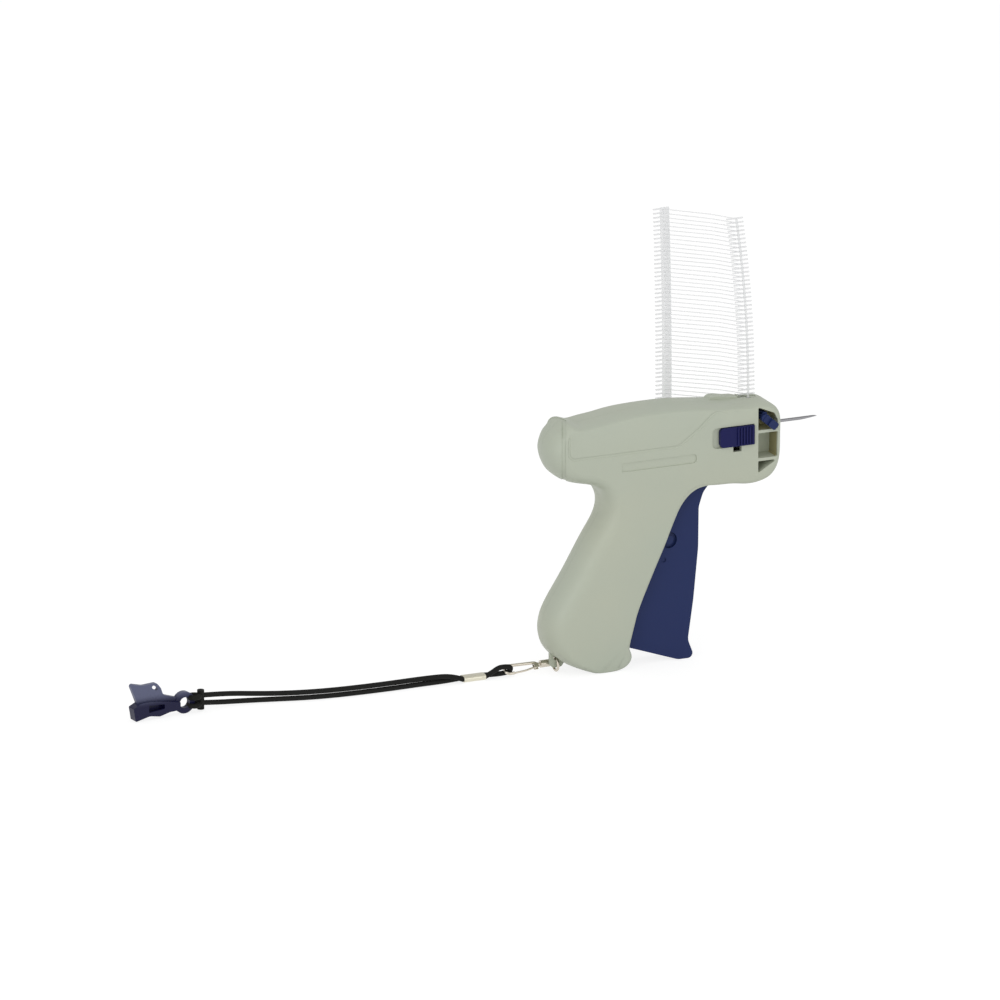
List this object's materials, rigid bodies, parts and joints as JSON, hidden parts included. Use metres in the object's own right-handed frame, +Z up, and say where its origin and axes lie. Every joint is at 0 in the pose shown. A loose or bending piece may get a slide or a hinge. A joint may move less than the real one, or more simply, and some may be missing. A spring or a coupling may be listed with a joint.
{
  "type": "garment tag attacher",
  "caption": "Pistol-shaped hand tool that shoots plastic tag pins through a hollow needle, with a squeeze trigger, a strip of tag pins, a side slide and a corded needle cap",
  "frame": {"origin": "the middle of the flat patch under the grip, on the table", "axes": "+X the way the needle points, +Y the gun's left side, +Z up"},
  "size_m": [0.3734, 0.0508, 0.2247],
  "materials": {
    "case_plastic": "fine satin moulded grey-beige plastic",
    "trigger_plastic": "satin navy moulded plastic",
    "button_plastic": "satin dark violet-blue moulded plastic",
    "inner_plastic": "off-white bearing plastic",
    "needle_seat_plastic": "dark blue moulded plastic",
    "tag_plastic": "clear nylon that looks white where it is thick",
    "needle_steel": "polished stainless steel",
    "pin_steel": "drawn steel",
    "screw_steel": "zinc plated steel",
    "hook_metal": "nickel plated wire",
    "crimp_metal": "soft bright metal",
    "cord_fabric": "black braided cord",
    "cap_plastic": "satin dark blue moulded plastic"
  },
  "bodies": {
    "case": {"right_housing": "case_plastic", "left_housing": "case_plastic", "housing_screws": "screw_steel", "trigger_pivot_pin": "pin_steel", "lever_pivot_pin": "pin_steel", "feed_block": "inner_plastic", "feed_wheel_axle": "pin_steel", "check_spring": "pin_steel", "knife_blade": "needle_steel", "needle_base": "needle_seat_plastic", "needle": "needle_steel", "lug_ring": "hook_metal", "swivel_eye": "hook_metal", "cord_eye": "cord_fabric", "cord_crimp": "crimp_metal", "lanyard_cord_lower": "cord_fabric", "lanyard_cord_upper": "cord_fabric", "lanyard_knot": "cord_fabric", "needle_cap": "cap_plastic"},
    "trigger": {"trigger": "trigger_plastic", "link_pin": "pin_steel", "trigger_spring": "pin_steel"},
    "drive_lever": {"drive_lever": "inner_plastic", "drive_pin": "pin_steel"},
    "ejector": {"ejector_slide": "inner_plastic", "push_rod": "pin_steel"},
    "clip": {"tag_pin_clip": "tag_plastic"},
    "feed_wheel": {"feed_wheel": "inner_plastic"},
    "lock_lever": {"needle_lock_lever": "trigger_plastic"},
    "side_button": {"slide_button": "button_plastic"},
    "hook": {"snap_hook": "hook_metal"},
    "gate": {"hook_gate": "hook_metal"}
  },
  "joints": [
    {"name": "trigger_squeeze", "type": "hinge", "parent": "case", "child": "trigger", "pos_m": [0.056, 0, 0.096], "axis": [0, 1, 0], "range_deg": [0, 16], "stiffness_Nm_per_rad": 0.6, "springref_deg": -28.65},
    {"name": "lever_swing", "type": "hinge", "parent": "case", "child": "drive_lever", "pos_m": [0.0218, 0, 0.0683], "axis": [0, 1, 0], "range_deg": [0, 51]},
    {"name": "ejector_stroke", "type": "slide", "parent": "case", "child": "ejector", "axis": [1, 0, 0], "range_m": [0, 0.0397]},
    {"name": "clip_feed", "type": "slide", "parent": "case", "child": "clip", "axis": [0, 0, -1], "range_m": [-0.0176, 0.0022]},
    {"name": "wheel_turn", "type": "hinge", "parent": "case", "child": "feed_wheel", "pos_m": [0.0804, 0.0012, 0.1205], "axis": [-1, 0, 0], "range_deg": [-361, 46]},
    {"name": "lock_turn", "type": "hinge", "parent": "case", "child": "lock_lever", "pos_m": [0.0869, 0, 0.1229], "axis": [0, -1, 0], "range_deg": [0, 50]},
    {"name": "button_slide", "type": "slide", "parent": "case", "child": "side_button", "axis": [-1, 0, 0], "range_m": [0, 0.0036]},
    {"name": "hook_swivel", "type": "hinge", "parent": "case", "child": "hook", "pos_m": [-0.0266, 0.0035, 0.00385], "axis": [-1, 0, 0], "range_deg": [-5, 5]},
    {"name": "gate_hinge", "type": "hinge", "parent": "hook", "child": "gate", "pos_m": [-0.0326, 0.00227, 0.00299], "axis": [0, 0.5736, -0.8192], "range_deg": [0, 10], "stiffness_Nm_per_rad": 0.01, "springref_deg": -17.19}
  ],
  "couplings": [
    {"joint": "lever_swing", "follows": "trigger_squeeze", "ratio": 3.1875},
    {"joint": "ejector_stroke", "follows": "trigger_squeeze", "m_per_rad": 0.14184},
    {"joint": "wheel_turn", "follows": "clip_feed", "rad_per_m": 357}
  ]
}
